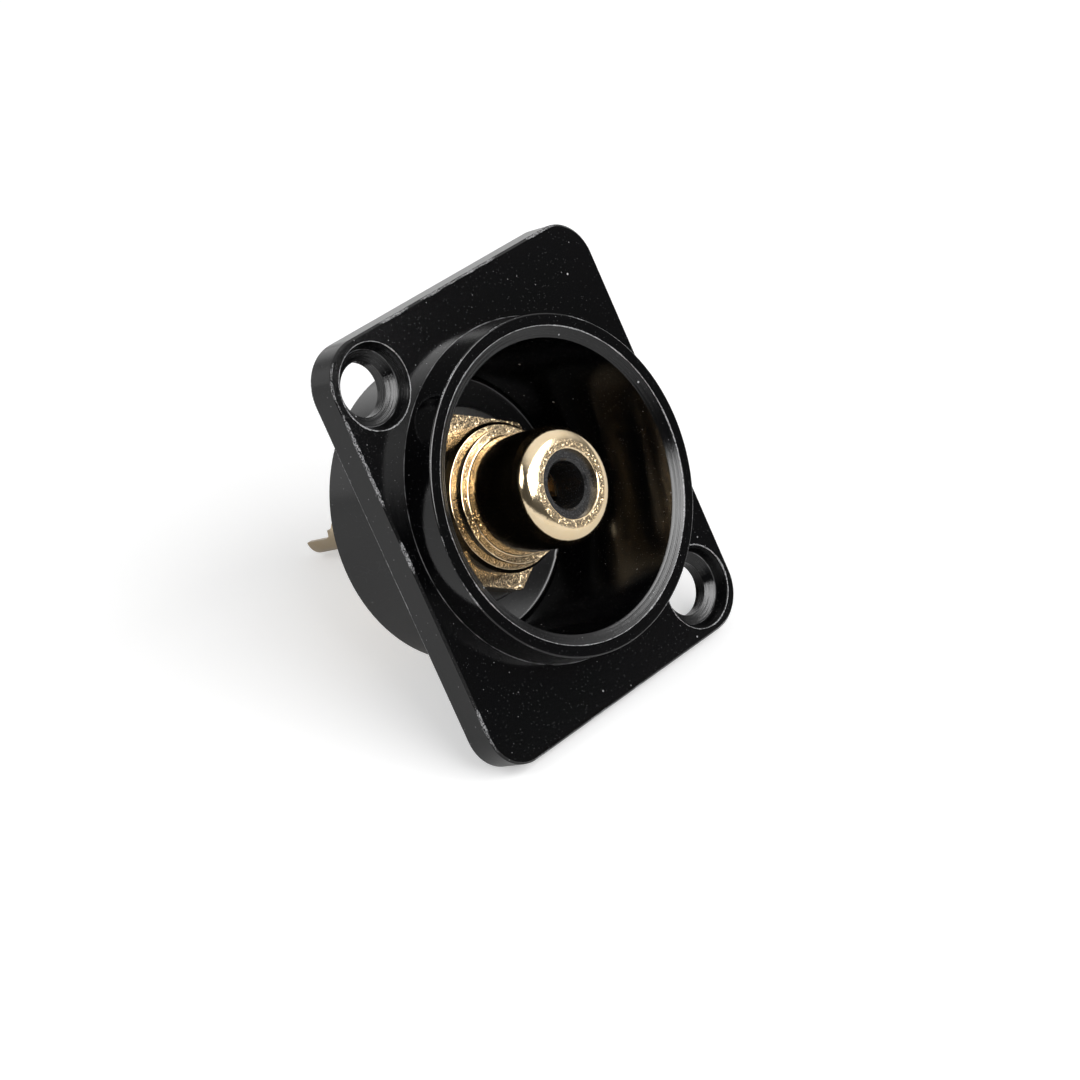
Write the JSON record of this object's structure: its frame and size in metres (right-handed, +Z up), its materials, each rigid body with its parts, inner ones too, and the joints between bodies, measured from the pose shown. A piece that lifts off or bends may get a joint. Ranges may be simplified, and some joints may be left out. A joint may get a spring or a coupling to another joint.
{
  "type": "rca panel socket",
  "caption": "Cup-shaped black housing on a rectangular screw flange, holding a gold-plated coaxial phono socket on insulating washers, with a solder cup and ground lug behind.",
  "frame": {"origin": "on the socket axis, in the plane of the flange's back face, midway between the two screw holes", "axes": "+Y along the socket axis, from the front of the panel to the back, the plug comes in from -Y; +Z up along the flange's long side; +X right as seen from the front"},
  "size_m": [0.026, 0.0281, 0.031],
  "materials": {
    "black_housing": "satin black coat, a little worn along the edges",
    "gold_shell": "gold plated, polished, with sparkling turned faces",
    "gold_contact": "gold plated, satin",
    "gold_fixing": "gold plated, satin",
    "grey_insulator": "matte",
    "black_washer": "matte"
  },
  "bodies": {
    "root": {"housing": "black_housing", "socket_shell": "gold_shell", "front_insulator": "grey_insulator", "rear_insulator": "grey_insulator", "centre_contact": "gold_contact", "front_washer": "black_washer", "rear_washer": "black_washer", "ground_lug": "gold_fixing", "lock_washer": "gold_fixing", "nut": "gold_fixing"}
  },
  "joints": []
}
